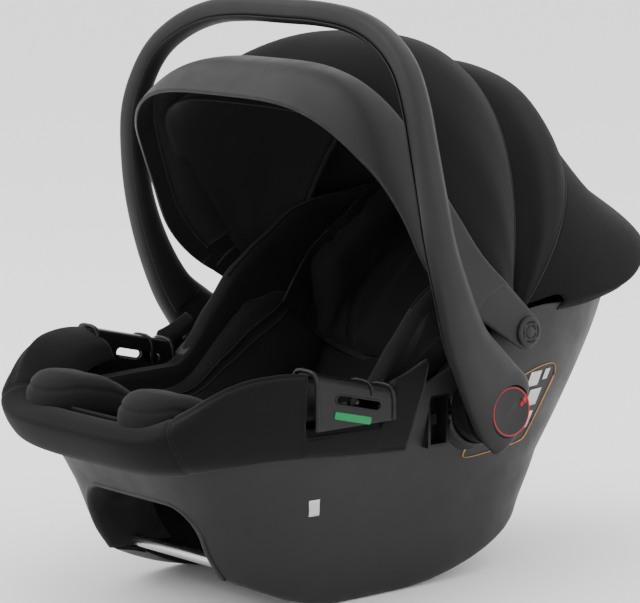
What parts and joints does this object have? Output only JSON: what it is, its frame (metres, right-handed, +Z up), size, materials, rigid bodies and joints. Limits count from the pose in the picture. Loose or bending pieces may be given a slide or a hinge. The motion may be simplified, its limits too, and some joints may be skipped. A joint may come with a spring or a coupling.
{
  "type": "infant car seat",
  "caption": "Rear-facing infant carrier seat with rocker shell, padded seat, carrying handle, folding canopy, sliding headrest, belt guides and steel base bars",
  "frame": {"origin": "middle of the bounding box in X and Y, on the floor the rocker stands on", "axes": "+Z up; +Y from the child's feet to the head end; +X to the side; the seat is symmetric about X = 0"},
  "size_m": [0.4642, 0.6698, 0.5514],
  "materials": {
    "shell_plastic": "fine grain, satin matte",
    "seat_plastic": "fine grain, matte",
    "black_plastic": "semi-gloss",
    "foam": "expanded bead foam",
    "cover_fabric": "knitted, padded",
    "canopy_fabric": "woven, matte",
    "webbing": "woven webbing",
    "steel": "plain, bright",
    "green_plastic": "satin",
    "red_plastic": "satin",
    "gear_plastic": "natural",
    "label_film": "printed film, blank"
  },
  "bodies": {
    "seat": {"outer_shell": "shell_plastic", "seat_shell": "seat_plastic", "foam_liner": "foam", "cover_skirt": "cover_fabric", "cover_seat": "cover_fabric", "body_insert_left": "cover_fabric", "body_insert_right": "cover_fabric", "thigh_pad_left": "cover_fabric", "thigh_pad_right": "cover_fabric", "belt_guide_left": "black_plastic", "belt_guide_right": "black_plastic", "guide_marks": "green_plastic", "shoulder_belt_hook": "black_plastic", "front_base_bar": "steel", "rear_base_bar": "steel", "bar_brackets": "seat_plastic", "adapter_socket_left": "black_plastic", "adapter_socket_right": "black_plastic", "hub_plate_left": "black_plastic", "hub_plate_right": "black_plastic", "hub_screws": "steel", "handle_pins": "steel", "shoulder_straps": "webbing", "crotch_strap": "webbing", "buckle": "black_plastic", "adjuster_housing": "black_plastic", "adjuster_strap": "webbing", "strap_yoke": "steel", "side_labels": "label_film", "front_label": "label_film", "lock_spring_left": "steel", "lock_spring_right": "steel", "canopy_pins": "steel", "canopy_rear_panel": "canopy_fabric", "canopy_rear_bow": "steel", "canopy_drape": "canopy_fabric", "canopy_hook": "webbing"},
    "handle": {"handle_arch": "shell_plastic", "handle_inner_cover": "black_plastic", "handle_hub_left": "shell_plastic", "handle_hub_right": "shell_plastic"},
    "button_left": {"handle_button_left": "shell_plastic", "lock_gear_left": "gear_plastic"},
    "button_right": {"handle_button_right": "shell_plastic", "lock_gear_right": "gear_plastic"},
    "canopy_mid": {"canopy_mid_bow": "steel"},
    "canopy_front": {"canopy_visor": "shell_plastic", "canopy_caps": "shell_plastic", "canopy_front_panel": "canopy_fabric"},
    "headrest": {"headrest_shell": "seat_plastic", "headrest_pad": "cover_fabric"},
    "buckle_press": {"buckle_button": "red_plastic"},
    "strap_release": {"adjuster_lever": "steel"},
    "release": {"release_lever": "black_plastic"},
    "bolt_left": {"latch_bolt_left": "steel"},
    "bolt_right": {"latch_bolt_right": "steel"}
  },
  "joints": [
    {"name": "handle_turn", "type": "hinge", "parent": "seat", "child": "handle", "pos_m": [0, 0.015, 0.181], "axis": [1, 0, 0], "range_deg": [-125, 0]},
    {"name": "button_left_press", "type": "slide", "parent": "handle", "child": "button_left", "axis": [1, 0, 0], "range_m": [0, 0.0067], "stiffness_N_per_m": 1500, "springref_m": -0.002, "deforming": ["lock_spring_left"]},
    {"name": "button_right_press", "type": "slide", "parent": "handle", "child": "button_right", "axis": [-1, 0, 0], "range_m": [0, 0.0067], "stiffness_N_per_m": 1500, "springref_m": -0.002, "deforming": ["lock_spring_right"]},
    {"name": "canopy_mid_fold", "type": "hinge", "parent": "seat", "child": "canopy_mid", "pos_m": [0, 0.056, 0.248], "axis": [1, 0, 0], "range_deg": [-22, 0], "deforming": ["canopy_rear_panel"]},
    {"name": "canopy_front_fold", "type": "hinge", "parent": "canopy_mid", "child": "canopy_front", "pos_m": [0, 0.056, 0.248], "axis": [1, 0, 0], "range_deg": [-39.6, 0], "deforming": ["canopy_front_panel"]},
    {"name": "headrest_lift", "type": "slide", "parent": "seat", "child": "headrest", "axis": [0, 0.7071, 0.7071], "range_m": [0, 0.045]},
    {"name": "buckle_button_press", "type": "slide", "parent": "seat", "child": "buckle_press", "axis": [0, -0.1908, -0.9816], "range_m": [0, 0.0025], "stiffness_N_per_m": 1500, "springref_m": -0.001},
    {"name": "strap_release_press", "type": "slide", "parent": "seat", "child": "strap_release", "axis": [0, -0.5878, -0.809], "range_m": [0, 0.0013], "stiffness_N_per_m": 2000, "springref_m": -0.001},
    {"name": "release_lever_lift", "type": "slide", "parent": "seat", "child": "release", "axis": [0, 0.4368, 0.8996], "range_m": [0, 0.012], "stiffness_N_per_m": 500, "springref_m": -0.004},
    {"name": "bolt_left_draw", "type": "slide", "parent": "seat", "child": "bolt_left", "axis": [1, 0, 0], "range_m": [0, 0.0048]},
    {"name": "bolt_right_draw", "type": "slide", "parent": "seat", "child": "bolt_right", "axis": [-1, 0, 0], "range_m": [0, 0.0048]}
  ],
  "couplings": [
    {"joint": "canopy_front_fold", "follows": "canopy_mid_fold", "ratio": 1.8},
    {"joint": "bolt_left_draw", "follows": "release_lever_lift", "ratio": 0.4},
    {"joint": "bolt_right_draw", "follows": "release_lever_lift", "ratio": 0.4}
  ]
}
